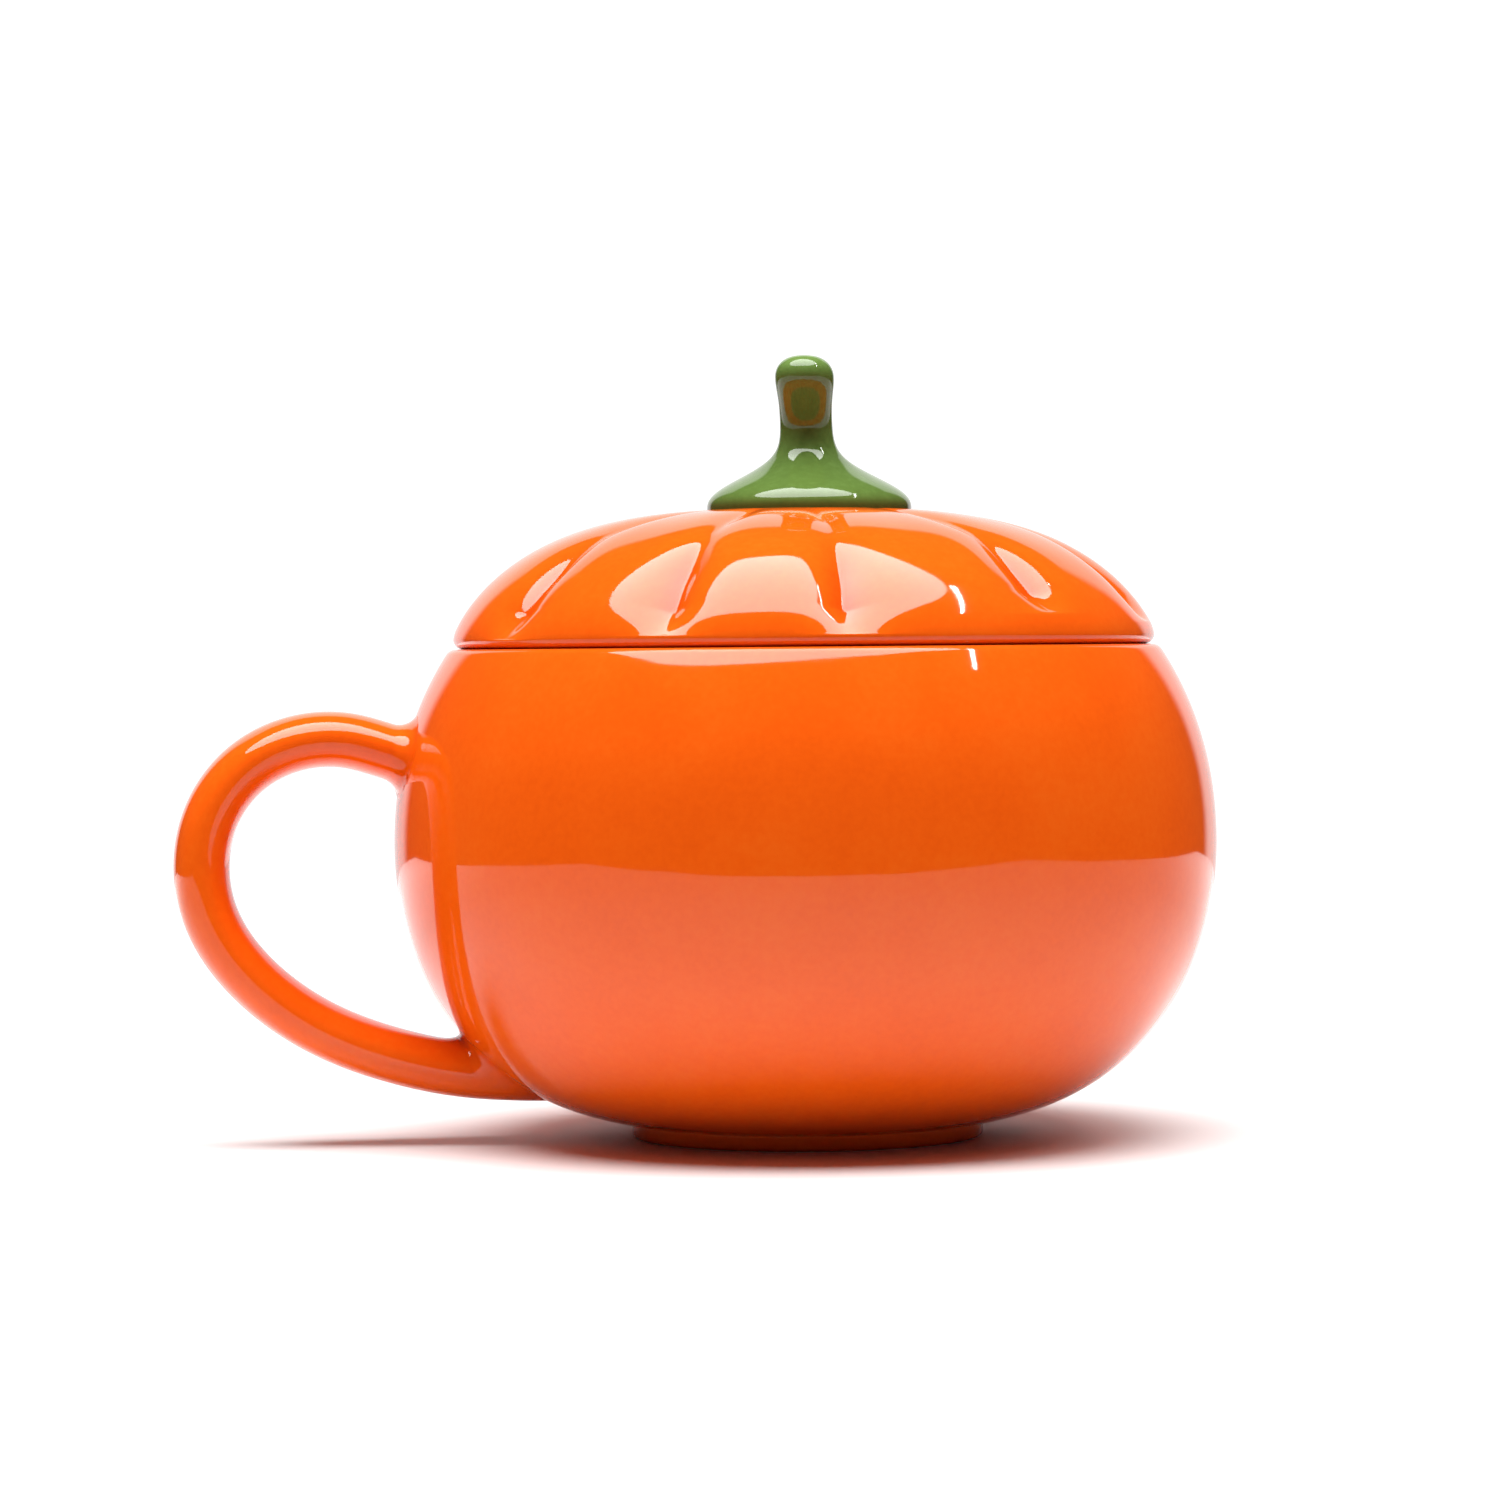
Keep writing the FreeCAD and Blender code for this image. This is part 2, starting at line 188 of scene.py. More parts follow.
recess_heights = cup_base + underside_dome * (1 - (recess_radii / recess_radii[-1]) ** 2)
recess = np.stack([recess_radii, recess_heights], -1)
below_lip = outside[outside[:, 1] < lip_arc[0, 1]]
below_mouth = inside[(inside[:, 1] < mouth_arc[-1, 1]) & (inside[:, 0] > middle_gap)]
cup_profile = np.concatenate([recess, below_lip, lip_arc, mouth_arc, below_mouth])
cup_points = turned(cup_profile, cup_columns)
cup = grid_mesh("cup", cup_points, [(0, 0, cup_base + underside_dome), (0, 0, cup_floor)])
past_mouth = np.arange(len(cup_profile)) - len(recess) - len(below_lip) - len(lip_arc)
paint(cup, cup_points, liner=np.clip((past_mouth - liner_line) / liner_blend, 0, 1)[:, None],
      liner_poles=(0.0, 1.0))

cream = (0.86, 0.80, 0.66)
cream_shade = 0.93               # the deeper patches of the cream glaze
dark_clay, pale_clay = (0.56, 0.43, 0.31), (0.68, 0.56, 0.43)
clay_roughness = 0.75
glaze_ior = 1.42


def shade(tree, kind, output, sockets, **settings):
    """Adds a shading node with its settings, feeds each of its named sockets with a number, a colour or
    another node's output, and gives back the output that is asked for."""
    made = tree.nodes.new("ShaderNode" + kind)
    for key, value in settings.items():
        setattr(made, key, value)
    for key, value in sockets.items():
        if isinstance(value, (int, float)):
            made.inputs[key].default_value = value
        elif isinstance(value, tuple):
            made.inputs[key].default_value = (*value, 1)
        else:
            tree.links.new(value, made.inputs[key])
    return made.outputs[output]


def reckon(tree, operation, one, two):
    """One sum on two numbers."""
    return shade(tree, "Math", "Value", {0: one, 1: two}, operation=operation)


def ramp(tree, value, low, high, first, last, **settings):
    """Goes from the first to the last number while the value goes from low to high, and stays there."""
    limits = {"From Min": low, "From Max": high, "To Min": first, "To Max": last}
    return shade(tree, "MapRange", "Result", {"Value": value, **limits}, **settings)


def blend(tree, share, one, two):
    """Colour that goes from one to two with the share; 6, 7 and 2 are the Mix node's colour sockets."""
    return shade(tree, "Mix", 2, {"Factor": share, 6: one, 7: two}, data_type="RGBA")


def glaze(name, thin, body, thick):
    """Glossy glaze over clay. Its colour goes from thin through body to thick with soft clouds, a fine
    mottle and the pool layer, and fine specks break it up. The liner layer turns it to cream along an
    uneven line, and the bare layer to matt clay. A long ripple and a fine peel bend its reflections."""
    material = bpy.data.materials.new(name)
    material.use_nodes = True
    tree = material.node_tree
    shader = tree.nodes["Principled BSDF"]
    place = shade(tree, "TexCoord", "Object", {})
    pool = shade(tree, "Attribute", "Fac", {}, attribute_name="pool")
    liner = shade(tree, "Attribute", "Fac", {}, attribute_name="liner")
    bare = shade(tree, "Attribute", "Fac", {}, attribute_name="bare")

    def noise(scale, detail):
        return shade(tree, "TexNoise", "Fac",
                     {"Vector": place, "Scale": scale, "Detail": detail, "Roughness": 0.55})

    clouds = ramp(tree, noise(60, 3), 0.35, 0.65, -0.10, 0.10)
    mottle = ramp(tree, noise(900, 2), 0.3, 0.7, -0.10, 0.10)
    depth = reckon(tree, "ADD", reckon(tree, "ADD", clouds, mottle), pool)
    colour = blend(tree, ramp(tree, depth, -1, 0, 0, 1), thin, body)
    colour = blend(tree, ramp(tree, depth, 0, 1, 0, 1), colour, thick)
    colour = blend(tree, ramp(tree, noise(2600, 1), 0.76, 0.80, 0, 0.25), colour, thick)

    liner_edge = reckon(tree, "ADD", liner, ramp(tree, noise(160, 2), 0.3, 0.7, -0.22, 0.22))
    deep_cream = tuple(part * cream_shade for part in cream)
    lining = blend(tree, ramp(tree, noise(70, 3), 0.3, 0.7, 0, 1), cream, deep_cream)
    colour = blend(tree, ramp(tree, liner_edge, 0.47, 0.53, 0, 1), colour, lining)

    bare_edge = reckon(tree, "ADD", bare, ramp(tree, noise(220, 2), 0.3, 0.7, -0.2, 0.2))
    wiped = ramp(tree, bare_edge, 0.45, 0.55, 0, 1)
    clay = blend(tree, ramp(tree, noise(1500, 4), 0.3, 0.7, 0, 1), dark_clay, pale_clay)
    tree.links.new(blend(tree, wiped, colour, clay), shader.inputs["Base Color"])

    gloss = ramp(tree, noise(45, 2), 0.3, 0.7, 0.035, 0.065)
    tree.links.new(blend(tree, wiped, gloss, (clay_roughness,) * 3), shader.inputs["Roughness"])
    shader.inputs["IOR"].default_value = glaze_ior

    ripple = shade(tree, "Bump", "Normal", {"Strength": 1, "Distance": 0.00005, "Height": noise(75, 1)})
    peel = shade(tree, "Bump", "Normal", {"Strength": 1, "Distance": 0.0000012, "Height": noise(650, 2),
                                          "Normal": ripple})
    grit = reckon(tree, "MULTIPLY", noise(2400, 3), wiped)
    tooth = shade(tree, "Bump", "Normal", {"Strength": 1, "Distance": 0.00006, "Height": grit,
                                           "Normal": peel})
    tree.links.new(tooth, shader.inputs["Normal"])
    return material


orange_glaze = glaze("orange glaze", thin=(0.92, 0.17, 0.012), body=(0.86, 0.104, 0.0035),
                     thick=(0.70, 0.055, 0.0015))
cup.data.materials.append(orange_glaze)
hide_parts("cup_body")
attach(cup, "cup")

# ---------------------------------------------------------------------------------------------
# The foot ring: a low ring luted under the cup. Its side is glazed with the cup, and its
# standing face is wiped back to the bare buff clay so that it doesn't stick to the kiln shelf.
# ---------------------------------------------------------------------------------------------
foot_columns = 240
foot_top = foot_high.z
foot_inside = foot_radius - foot_width
edge_hold = 0.0001               # row close to an edge, which keeps the edge crisp
foot_pool = 0.35                 # the glaze runs down to the foot and lies thick there
wiped_rise, wiped_reach = 0.0001, 0.0003
foot_corners = np.array([[foot_radius, foot_top], [foot_radius, 0],
                         [foot_inside, 0], [foot_inside, foot_top]])
foot_profile = np.concatenate([
    [foot_corners[0], foot_corners[0] - [0, edge_hold]],
    rounded_corner(*foot_corners[:3], foot_round, 8),
    np.linspace([foot_radius - 0.001, 0], [foot_inside + 0.001, 0], 6),
    rounded_corner(*foot_corners[1:], foot_round, 8),
    [foot_corners[3], foot_corners[0] - [edge_hold, 0]]])[::-1]
foot_points = turned(foot_profile, foot_columns)
foot = grid_mesh("foot_ring_glazed", foot_points)
foot_wiped = (foot_profile[:, 1] < wiped_rise) | (foot_profile[:, 0] < foot_inside + wiped_reach)
paint(foot, foot_points, pool=foot_pool, bare=foot_wiped[:, None])
foot.data.materials.append(orange_glaze)
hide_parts("foot_ring")
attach(foot, "cup")

# ---------------------------------------------------------------------------------------------
# The handle: an oval strap of clay pulled into a loop. Both ends are luted to the wall with
# slip, smoothed into a small fillet, and it is glazed together with the cup.
# ---------------------------------------------------------------------------------------------
strap_thickness = 0.0088
strap_width = 0.0174
strap_power = 0.92               # a little fuller than an ellipse
root_sink = 0.009                # how far the strap's middle line runs on inside the wall
fillet = 0.003
fillet_fade = 1.5                # the fillet fades where the strap runs along the wall
trim_sink = 0.0008               # how far the trimmed ends lie inside the wall
pool_reach, pool_share = 0.002, 0.5
# middle line of the strap between its roots: outward from the widest ring, height above the table
loop = np.array([
    (-0.0048, 0.0603), (0.0070, 0.0632), (0.0219, 0.0599), (0.0289, 0.0507), (0.0289, 0.0362),
    (0.0232, 0.0271), (0.0104, 0.0176), (0.0005, 0.0138), (-0.0097, 0.0115)])
root_heights = np.array([0.0610, 0.0106])
roots = np.stack([root_sink - cup_outside(root_heights), root_heights], -1)
route = np.concatenate([roots[:1], np.stack([-(cup_radius + loop[:, 0]), loop[:, 1]], -1), roots[1:]])


def smooth_route(points, count):
    """Natural cubic spline through points, run at even steps of its length: between two points it is
    the cubic whose bend goes evenly from one point's to the next's."""
    gaps = np.hypot(*np.diff(points, axis=0).T)
    knots = np.concatenate([[0], np.cumsum(gaps)])
    slopes = np.diff(points, axis=0) / gaps[:, None]
    size = len(points)
    matrix, right = np.eye(size), np.zeros((size, 2))
    for index in range(1, size - 1):
        before, after = gaps[index - 1: index + 1]
        matrix[index, index - 1: index + 2] = before, 2 * (before + after), after
        right[index] = 6 * (slopes[index] - slopes[index - 1])
    bend = np.linalg.solve(matrix, right)

    def at(distance):
        span = np.clip(np.searchsorted(knots, distance, side="right") - 1, 0, size - 2)
        gap = gaps[span][:, None]
        past = (distance - knots[span])[:, None]
        left = gap - past
        return ((bend[span] * left ** 3 + bend[span + 1] * past ** 3) / (6 * gap)
                + (points[span] / gap - bend[span] * gap / 6) * left
                + (points[span + 1] / gap - bend[span + 1] * gap / 6) * past)

    fine = np.linspace(0, knots[-1], 2000)
    run = np.concatenate([[0], np.cumsum(np.hypot(*np.diff(at(fine), axis=0).T))])
    return at(np.interp(np.linspace(0, run[-1], count), run, fine))


def wall_distance(points):
    """Distance of points outside the cup's wall: the gap in radius over the root of one plus the
    square of the wall's lean."""
    radius, height = np.hypot(points[..., 0], points[..., 1]), points[..., 2]
    step, steepest = 0.0002, 3
    lean = (cup_outside(height + step) - cup_outside(height - step)) / (2 * step)
    gap = radius - cup_outside(np.clip(height, cup_base, lip_height))
    return gap / np.sqrt(1 + np.clip(lean, -steepest, steepest) ** 2)


strap_rows, strap_columns, handle_rows = 900, 96, 260
middle = smooth_route(route, strap_rows)
heading = np.gradient(middle, axis=0)
heading /= np.hypot(*heading.T)[:, None]
outward = np.stack([-heading[:, 1], heading[:, 0]], -1)
around = np.linspace(0, 2 * np.pi, strap_columns, endpoint=False)
oval_across = np.sign(np.cos(around)) * np.abs(np.cos(around)) ** strap_power
oval_out = np.sign(np.sin(around)) * np.abs(np.sin(around)) ** strap_power


def strap_surface(grow):
    """Oval of the strap swept along its middle line: the middle, plus the half thickness outwards and
    the half width sideways; grow[row, column] thickens it away from the middle."""
    half_out = strap_thickness / 2 * oval_out + grow * np.sin(around)
    half_side = strap_width / 2 * oval_across + grow * np.cos(around)
    return np.stack([middle[:, :1] + outward[:, :1] * half_out, half_side + 0 * middle[:, :1],
                     middle[:, 1:] + outward[:, 1:] * half_out], -1)


nudge = 0.0001
bare_strap = strap_surface(np.zeros((strap_rows, strap_columns)))
bare_distance = wall_distance(bare_strap)
strap_normal = np.stack([outward[:, :1] * np.sin(around), np.cos(around) + 0 * middle[:, :1],
                         outward[:, 1:] * np.sin(around)], -1)
wall_normal = np.stack([wall_distance(bare_strap + step) - wall_distance(bare_strap - step)
                        for step in np.eye(3) * nudge], -1) / (2 * nudge)
# the fillet is a quarter circle in the distance from the wall, and leaves that distance as it was
facing = np.clip((strap_normal * wall_normal).sum(-1), 0, 1)
nearness = 1 - np.clip(bare_distance, 0, fillet) / fillet
flared = strap_surface(fillet * (1 - facing) ** fillet_fade * (1 - np.sqrt(1 - nearness ** 2)))
flared -= wall_normal * (wall_distance(flared) - bare_distance)[..., None]
# every lengthwise line of the strap is trimmed where it has sunk a little into the wall
outside_wall = bare_distance > -trim_sink
first = outside_wall.argmax(0)
last = strap_rows - 1 - outside_wall[::-1].argmax(0)
position = first + (last - first) * eased(0, 1, handle_rows, "both")[:, None]
lower = np.clip(np.floor(position).astype(int), 0, strap_rows - 2)
part = (position - lower)[..., None]
column = np.arange(strap_columns)
handle_points = flared[lower, column] * (1 - part) + flared[lower + 1, column] * part
handle = grid_mesh("handle_strap", handle_points, [handle_points[0].mean(0), handle_points[-1].mean(0)])
root_pool = pool_share * np.clip(1 - wall_distance(handle_points) / pool_reach, 0, 1)
paint(handle, handle_points, pool=root_pool)
handle.data.materials.append(orange_glaze)
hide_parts("handle")
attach(handle, "cup")

# ---------------------------------------------------------------------------------------------
# The lid: a slip-cast dome with ten uneven lobes, a rolled rim that sits on the cup's lip and
# a hollow underneath. Orange glaze outside, cream inside, the seat wiped bare.
# ---------------------------------------------------------------------------------------------
lid_low, lid_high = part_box("lid_dome")
ring_low, ring_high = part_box("lid_ring")
seat_height = lid_low.z
ring_radius = ring_high.x
lid_height = 0.0218              # crown above the seat
lid_set_in = 0.0006              # how far the rim lies inside the cup's shoulder
lid_roll = 0.0015                # rolled lower edge
lid_wall = 0.0056                # wall at the crown
ring_bond = 0.0028               # straight collar inside the rim
lid_across, lid_up = 3.3, 1.45   # how square the dome is, across and upwards
groove_depth = 0.0027
groove_sharpness = 4.0           # how late each lobe falls away into its grooves
groove_softness = 0.0008         # rounding of the valley floor
crease_top, crease_opening, crease_share = 0.014, 0.016, 0.33
groove_top, groove_opening = 0.037, 0.012
groove_tip_reach, groove_tip_power = 0.25, 0.8
groove_pool = 0.9                # the glaze lies this much thicker in the valleys
# direction of each groove in degrees from +X, and the height of its lower tip above the seat
grooves = np.array([
    (207.5, 0.0014), (240.4, 0.0018), (269.6, 0.0018), (306.3, 0.0048), (341.0, 0.0035),
    (379.5, 0.0024), (415.5, 0.0042), (455.0, 0.0028), (490.5, 0.0046), (528.5, 0.0030)])
crown_height = seat_height + lid_height
rim_height = seat_height + lid_roll
lid_radius = shoulder_radius - lid_set_in


def smooth_step(share):
    """Rises smoothly from 0 to 1 as the share does, and stays there: share^2 times (3 - 2 share)."""
    share = np.clip(share, 0, 1)
    return share ** 2 * (3 - 2 * share)


def groove_fall(angle, radius, height):
    """How deep the lobed surface lies below the smooth dome. Each lobe falls away to both its grooves as
    a power of the way across it, the floor of the valley is rounded, and the grooves open in two steps
    down from the crown and run out at their lower tips."""
    edges = np.append(grooves[:, 0], grooves[0, 0] + 360)
    tips = np.append(grooves[:, 1], grooves[0, 1])
    index = np.clip(np.searchsorted(edges, angle, side="right") - 1, 0, len(grooves) - 1)
    half = (edges[index + 1] - edges[index]) / 2
    across = (angle - edges[index] - half) / half
    tip = seat_height + np.where(across > 0, tips[index + 1], tips[index])
    span = np.radians(half) * radius
    valley = (1 - np.abs(across)) * span
    valley = np.sqrt(valley ** 2 + groove_softness ** 2) - groove_softness
    lobe = np.clip(1 - valley / span, 0, 1) ** groove_sharpness
    crease = crease_share * smooth_step((radius - crease_top) / crease_opening)
    opening = crease + (1 - crease_share) * smooth_step((radius - groove_top) / groove_opening)
    fade = np.clip((height - tip) / (crown_height - tip), 0, 1)
    return groove_depth * lobe * opening * np.clip(fade / groove_tip_reach, 0, 1) ** groove_tip_power


def dome_height(radius):
    """Height of the smooth dome: the rim, plus (1 - (radius / rim radius)^across)^(1/upward) of the rise."""
    share = (1 - (radius / lid_radius) ** lid_across) ** (1 / lid_up)
    return rim_height + (crown_height - rim_height) * share


def dome_radius(share, radius):
    """Radius of a dome at a share of its rise: radius times (1 - share^upward)^(1/across)."""
    return radius * (1 - share ** lid_up) ** (1 / lid_across)


lid_columns = 480
stem_rest = 0.012                # plain patch under the stem, with few rows
top_radii = np.concatenate([np.linspace(0.0015, stem_rest, 5),
                            np.linspace(stem_rest, lid_radius * 0.93, 66)[1:]])
top = np.stack([top_radii, dome_height(top_radii)], -1)
side_heights = eased(top[-1, 1], rim_height, 34, "high")[1:]
side_share = (side_heights - rim_height) / (crown_height - rim_height)
side = np.stack([dome_radius(side_share, lid_radius), side_heights], -1)
roll_turn = np.linspace(0, np.pi / 2, 12)[1:]
roll = np.stack([lid_radius - lid_roll * (1 - np.cos(roll_turn)),
                 rim_height - lid_roll * np.sin(roll_turn)], -1)
lid_outside = np.concatenate([top, side, roll])
tangent = np.gradient(lid_outside, axis=0)
tangent /= np.hypot(*tangent.T)[:, None]
lid_angle = grooves[0, 0] + np.linspace(0, 360, lid_columns, endpoint=False)
fall = groove_fall(lid_angle, lid_outside[:, :1], lid_outside[:, 1:])

hollow_top = crown_height - lid_wall
collar_top = seat_height + ring_bond
hollow_heights = eased(collar_top, hollow_top, 40, "high")[:-1]
hollow_share = (hollow_heights - collar_top) / (hollow_top - collar_top)
hollow = np.stack([dome_radius(hollow_share, ring_radius), hollow_heights], -1)
seat = np.linspace([roll[-1, 0], seat_height], [ring_radius, seat_height], 5)[1:]
collar = np.linspace([ring_radius, seat_height], [ring_radius, collar_top], 4)[1:-1]
lid_inside = np.concatenate([seat, collar, hollow])
# the mould leaves the valleys as soft ribs inside the hollow
rib_share, rib_in, rib_down, rib_start, rib_middle = 0.4, 0.5, 0.8, 0.0005, 0.002
rib = rib_share * groove_fall(lid_angle, np.clip(lid_inside[:, :1], rib_middle, None),
                              lid_inside[:, 1:] + lid_wall)
rib *= lid_inside[:, 1:] > collar_top + rib_start
lid_radii = np.concatenate([lid_outside[:, :1] + fall * tangent[:, 1:],
                            lid_inside[:, :1] - rib_in * rib])[::-1]
lid_heights = np.concatenate([lid_outside[:, 1:] - fall * tangent[:, :1],
                              lid_inside[:, 1:] - rib_down * rib])[::-1]
direction = np.radians(lid_angle)
lid_points = np.stack([lid_radii * np.cos(direction), lid_radii * np.sin(direction), lid_heights], -1)
lid = grid_mesh("lid", lid_points, [(0, 0, hollow_top), (0, 0, crown_height)])
# rows run from the middle of the hollow over the seat to the crown
row = np.arange(len(lid_points))
cream_end, seat_end = len(lid_inside) - len(seat), len(lid_inside)
valley_pool = np.concatenate([np.zeros((seat_end, lid_columns)),
                              groove_pool * (fall[::-1] / groove_depth) ** 2])
paint(lid, lid_points, pool=valley_pool, liner=(row < cream_end)[:, None], liner_poles=(1.0, 0.0),
      bare=((row >= cream_end - 1) & (row < seat_end))[:, None])
lid.data.materials.append(orange_glaze)
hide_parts("lid_dome")
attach(lid, "lid")

# ---------------------------------------------------------------------------------------------
# The locating ring: a plain collar luted inside the lid's rim, glazed cream with the inside.
# It drops into the mouth of the cup with a little play and keeps the lid from sliding off.
# ---------------------------------------------------------------------------------------------
ring_columns = 240
ring_wall = 0.0034
ring_round = 0.0012
ring_wiped = 0.0002              # its lower edge is wiped bare up to here
ring_corners = np.array([[ring_radius, ring_high.z], [ring_radius, ring_low.z],
                         [ring_radius - ring_wall, ring_low.z], [ring_radius - ring_wall, ring_high.z]])
ring_profile = np.concatenate([
    np.linspace(ring_corners[0], ring_corners[1] + [0, ring_round], 6)[:-1],
    rounded_corner(*ring_corners[:3], ring_round, 10),
    rounded_corner(*ring_corners[1:], ring_round, 10),
    np.linspace(ring_corners[2] + [0, ring_round], ring_corners[3], 6)[1:],
    [(ring_corners[3] + ring_corners[0]) / 2]])[::-1]
ring_points = turned(ring_profile, ring_columns)
ring = grid_mesh("lid_locating_ring", ring_points)
paint(ring, ring_points, bare=(ring_profile[:, 1] < ring_low.z + ring_wiped)[:, None])
cream_glaze = glaze("cream glaze", thin=(0.88, 0.83, 0.70), body=(0.85, 0.79, 0.65),
                    thick=(0.78, 0.71, 0.56))
ring.data.materials.append(cream_glaze)
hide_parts("lid_ring")
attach(ring, "lid")

# ---------------------------------------------------------------------------------------------
# The stem: a knob of clay with a flared calyx, bent over at its tip and luted to the crown.
# It has its own green glaze, thinner and paler where it breaks over the edges.
# ---------------------------------------------------------------------------------------------
stem_low, stem_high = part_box("stem")
stem_top = stem_high.z
stem_height = stem_top - crown_height
calyx_radius = 0.0162
neck_radius = 0.00415
calyx_height, calyx_bell = 0.0061, 2.4
bulb_swell, bulb_spread, bulb_drop = 0.0005, 0.003, 0.0036
cap_height, cap_across, cap_up = 0.0039, 2.4, 3.0
stem_bend, bend_start, bend_end = 0.0046, 0.0118, 0.0212
bend_direction = math.radians(262.5)
stem_offset, stem_top_offset = 0.0011, 0.0004
stem_sink = 0.0022               # clay below the crown, inside the lid's glaze


def stem_radius(rise):
    """Radius of the stem: the neck, a bell-shaped flare at its foot, a swelling near its tip and a
    rounded end, (1 - way up the end^power)^(1/power)."""
    flare = (calyx_radius - neck_radius) * np.exp(-(np.clip(rise, 0, None) / calyx_height) ** calyx_bell)
    bulb = bulb_swell * np.exp(-((rise - stem_height + bulb_drop) / bulb_spread) ** 2)
    cap = np.clip((rise - stem_height + cap_height) / cap_height, 0, 1)
    return (neck_radius + flare + bulb) * (1 - cap ** cap_up) ** (1 / cap_across)


def stem_middle(rise):
    """Middle of the stem: off centre at its foot, leaning out on a smooth step between two heights."""
    lean = stem_bend * smooth_step((rise - bend_start) / (bend_end - bend_start))
    aside = stem_offset + (stem_top_offset - stem_offset) * np.clip(rise, 0, None) / stem_height
    return np.stack([aside + lean * math.cos(bend_direction), lean * math.sin(bend_direction),
                     crown_height + rise], -1)


stem_columns = 144
cap_start = stem_height - cap_height
stem_rise = np.concatenate([[-stem_sink, -0.0012, -0.0005], np.linspace(0, cap_start, 90),
                            eased(cap_start, stem_height, 34, "high")[1:-1]])
stem_ring = turned(np.stack([stem_radius(stem_rise), 0 * stem_rise], -1), stem_columns)
stem_points = stem_middle(stem_rise)[:, None] + stem_ring
stem_ends = [(stem_offset, 0, crown_height - stem_sink), tuple(stem_middle(stem_height))]
stem = grid_mesh("stem_knob", stem_points, stem_ends)
# the glaze runs together at the joint with the lid and thins over the tip
foot_run = 0.5 * np.clip(1 - stem_rise / 0.0012, 0, 1)
tip_thin = 0.3 * np.clip((stem_rise - 0.021) / 0.003, 0, 1)
paint(stem, stem_points, pool=(foot_run - tip_thin)[:, None])
green_glaze = glaze("green glaze", thin=(0.20, 0.32, 0.09), body=(0.098, 0.168, 0.034),
                    thick=(0.050, 0.078, 0.012))
stem.data.materials.append(green_glaze)
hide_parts("stem")
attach(stem, "lid")

# ---------------------------------------------------------------------------------------------
# The studio: a white table that ends in front of the mug, a large round softbox overhead, a
# thin bright tube beside it, a white sweep behind and a dim room in front.
# ---------------------------------------------------------------------------------------------
camera_turn = math.radians(-7.5)
camera_side = Matrix.Rotation(camera_turn, 4, "Z")
table_front, table_back, table_side = -0.36, 0.60, 0.60
table_corners = [(-table_side, table_front, 0), (table_side, table_front, 0),
                 (table_side, table_back, 0), (-table_side, table_back, 0)]
table_mesh = bpy.data.meshes.new("table")
table_mesh.from_pydata([camera_side @ Vector(corner) for corner in table_corners], [], [(0, 1, 2, 3)])
table = bpy.data.objects.new("table", table_mesh)
bpy.context.scene.collection.objects.link(table)


def table_with_painted_light():
    """White paper with painted light: brighter close round the mug to lighten the shadow it casts there, and
    brighter towards the sweep behind it where less light falls. Its colour is the greater of a ramp in the
    distance from the middle and a ramp in the distance behind it."""
    material = bpy.data.materials.new("white table")
    material.use_nodes = True
    tree = material.node_tree
    shader = tree.nodes["Principled BSDF"]
    place = shade(tree, "TexCoord", "Object", {})
    reach = shade(tree, "VectorMath", "Value", {"Vector": place}, operation="LENGTH")
    behind = shade(tree, "SeparateXYZ", "Y", {"Vector": place})
    # painted light: the paper is made brighter where the mug's shadow falls and towards the dimmer back
    white = reckon(tree, "MAXIMUM", ramp(tree, reach, 0.06, 0.26, 0.80, 0.58),
                   ramp(tree, behind, 0.05, 0.40, 0.58, 0.95))
    tree.links.new(white, shader.inputs["Base Color"])
    shader.inputs["Roughness"].default_value = 0.6
    return material


table_mesh.materials.append(table_with_painted_light())

light_height = 1.6


def lamp(name, shape, centre, turn, size, radiance):
    """Flat light that faces down. Its centre and size are shares of its height above the table, and its
    power is radiance times pi times its area."""
    data = bpy.data.lights.new(name, "AREA")
    data.shape = shape
    data.size, data.size_y = size[0] * light_height, size[1] * light_height
    fill = math.pi / 4 if shape == "ELLIPSE" else 1
    data.energy = radiance * math.pi * fill * data.size * data.size_y
    light = bpy.data.objects.new(name, data)
    place = Matrix.Translation((centre[0] * light_height, centre[1] * light_height, light_height))
    light.matrix_world = camera_side @ place @ Matrix.Rotation(turn, 4, "Z")
    bpy.context.scene.collection.objects.link(light)


lamp("overhead softbox", "ELLIPSE", (-0.11, -0.085), 0.0, (1.26, 0.91), 9.6)
lamp("tube light", "RECTANGLE", (0.645, -0.093), math.radians(35.5), (0.025, 0.533), 60.0)

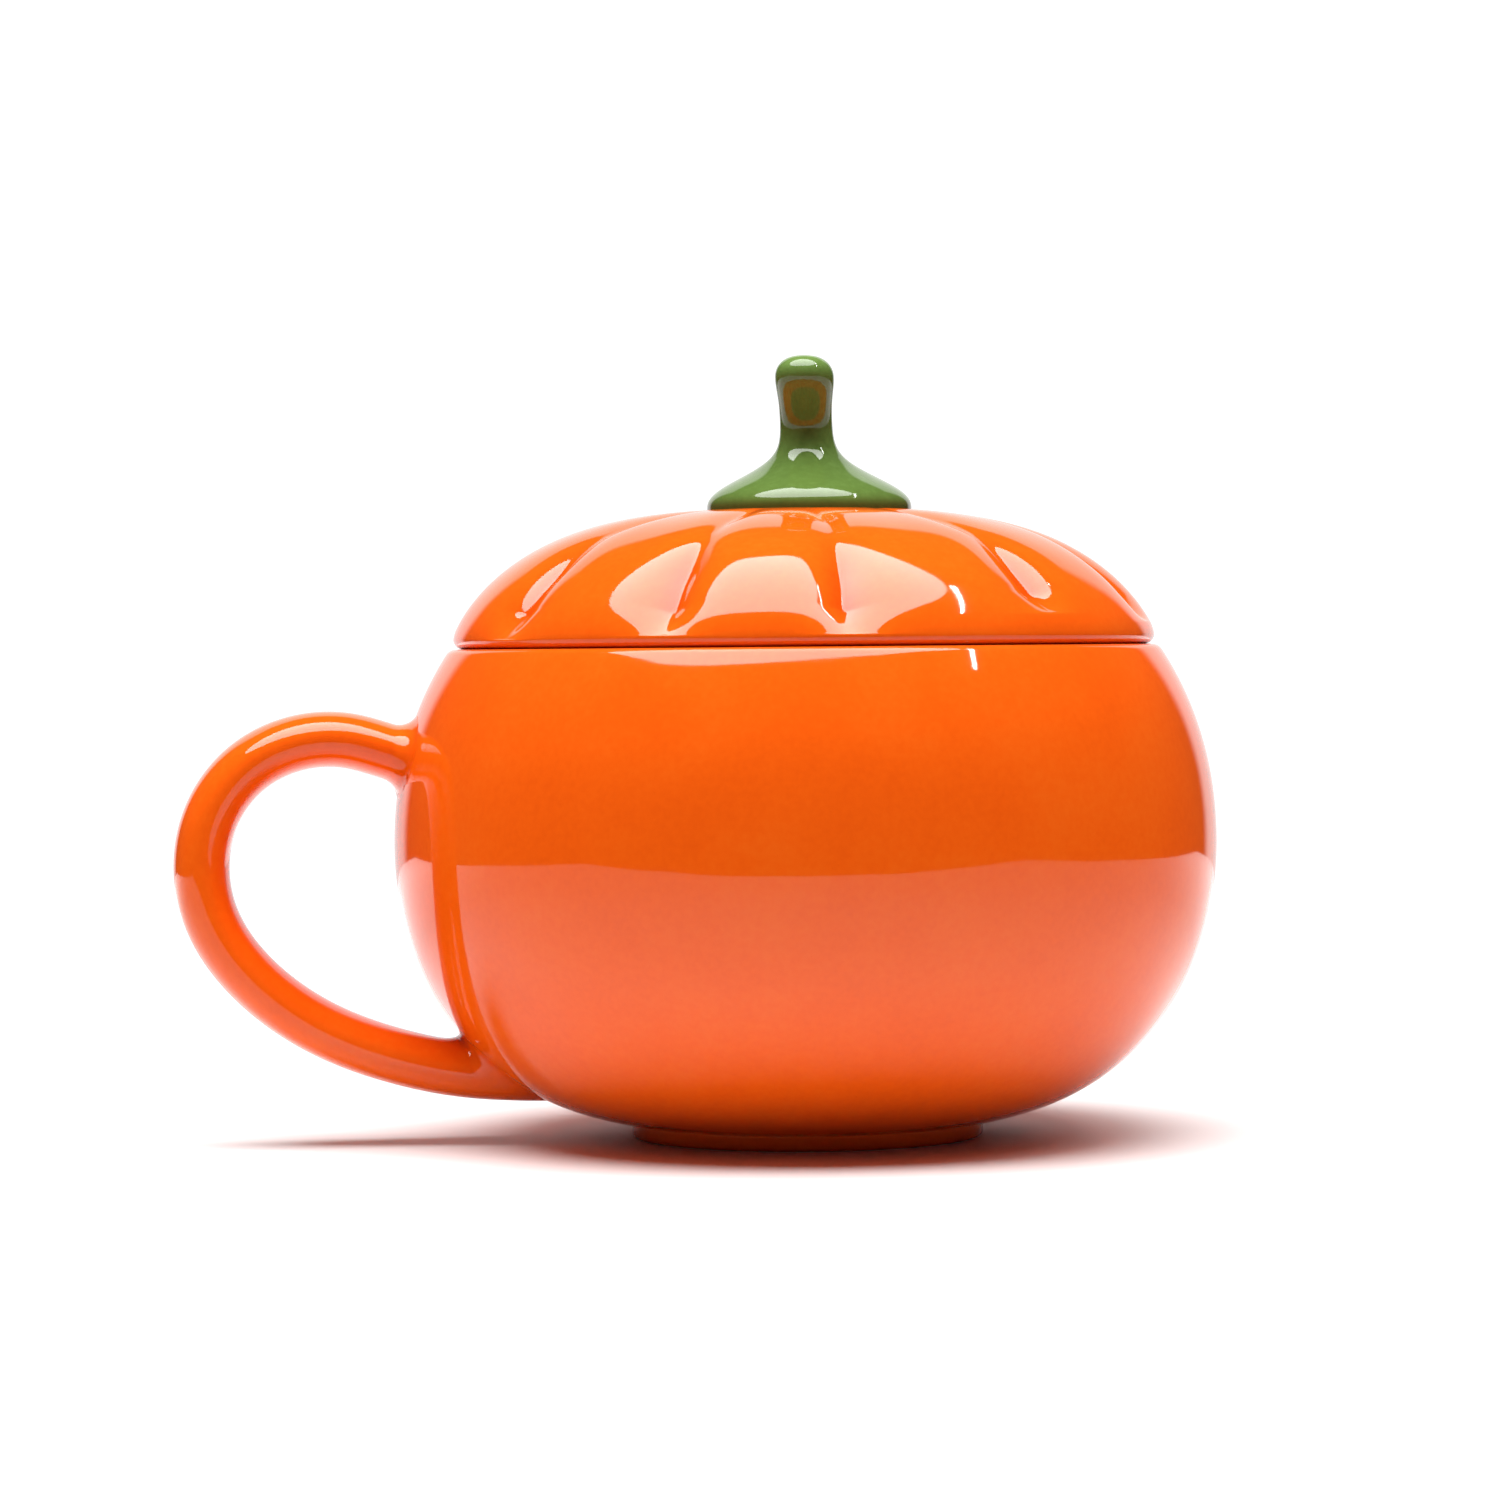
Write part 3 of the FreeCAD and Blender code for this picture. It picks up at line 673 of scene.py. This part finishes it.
room_dark = 0.035
sweep_sides = 0.82, 0.89         # cosine of the turn away from straight behind at its soft edges
sweep_top = 0.575, 0.62          # sine of the height of its soft upper edge
seen_white = 1.2                 # what the camera sees behind the table
world = bpy.data.worlds.new("studio")
bpy.context.scene.world = world
world.use_nodes = True
sky = world.node_tree
view = shade(sky, "VectorRotate", "Vector", {"Vector": shade(sky, "TexCoord", "Generated", {}),
                                             "Angle": -camera_turn}, rotation_type="Z_AXIS")
upward = shade(sky, "SeparateXYZ", "Z", {"Vector": view})
level = reckon(sky, "POWER", reckon(sky, "SUBTRACT", 1, reckon(sky, "MULTIPLY", upward, upward)), 0.5)
behind = reckon(sky, "DIVIDE", shade(sky, "SeparateXYZ", "Y", {"Vector": view}),
                reckon(sky, "MAXIMUM", level, 0.001))
sweep = reckon(sky, "MULTIPLY", ramp(sky, behind, *sweep_sides, 0, 1, interpolation_type="SMOOTHSTEP"),
               ramp(sky, upward, *sweep_top, 1, 0, interpolation_type="SMOOTHSTEP"))
seen = shade(sky, "LightPath", "Is Camera Ray", {})
brightness = reckon(sky, "MAXIMUM", reckon(sky, "ADD", room_dark, sweep),
                    reckon(sky, "MULTIPLY", seen, seen_white))
background = sky.nodes["Background"]
background.inputs["Color"].default_value = (1, 1, 1, 1)
sky.links.new(brightness, background.inputs["Strength"])

# ---------------------------------------------------------------------------------------------
# The camera: level with the joint of lid and cup, a long lens from three quarters of a metre.
# ---------------------------------------------------------------------------------------------
camera_distance = 0.7765
camera_height = 0.0777
look_down, look_aside, tilt = math.radians(1.298), math.radians(0.567), math.radians(-0.5)
camera_data = bpy.data.cameras.new("camera")
camera_data.lens, camera_data.sensor_width = 116.7, 36.0
camera = bpy.data.objects.new("camera", camera_data)
camera.matrix_world = (
    camera_side
    @ Matrix.Translation((0, -camera_distance, camera_height))
    @ Matrix.Rotation(look_aside, 4, "Z")
    @ Matrix.Rotation(math.pi / 2 - look_down, 4, "X")
    @ Matrix.Rotation(tilt, 4, "Z"))
bpy.context.scene.collection.objects.link(camera)
bpy.context.scene.camera = camera
bpy.context.scene.view_settings.view_transform = "Standard"
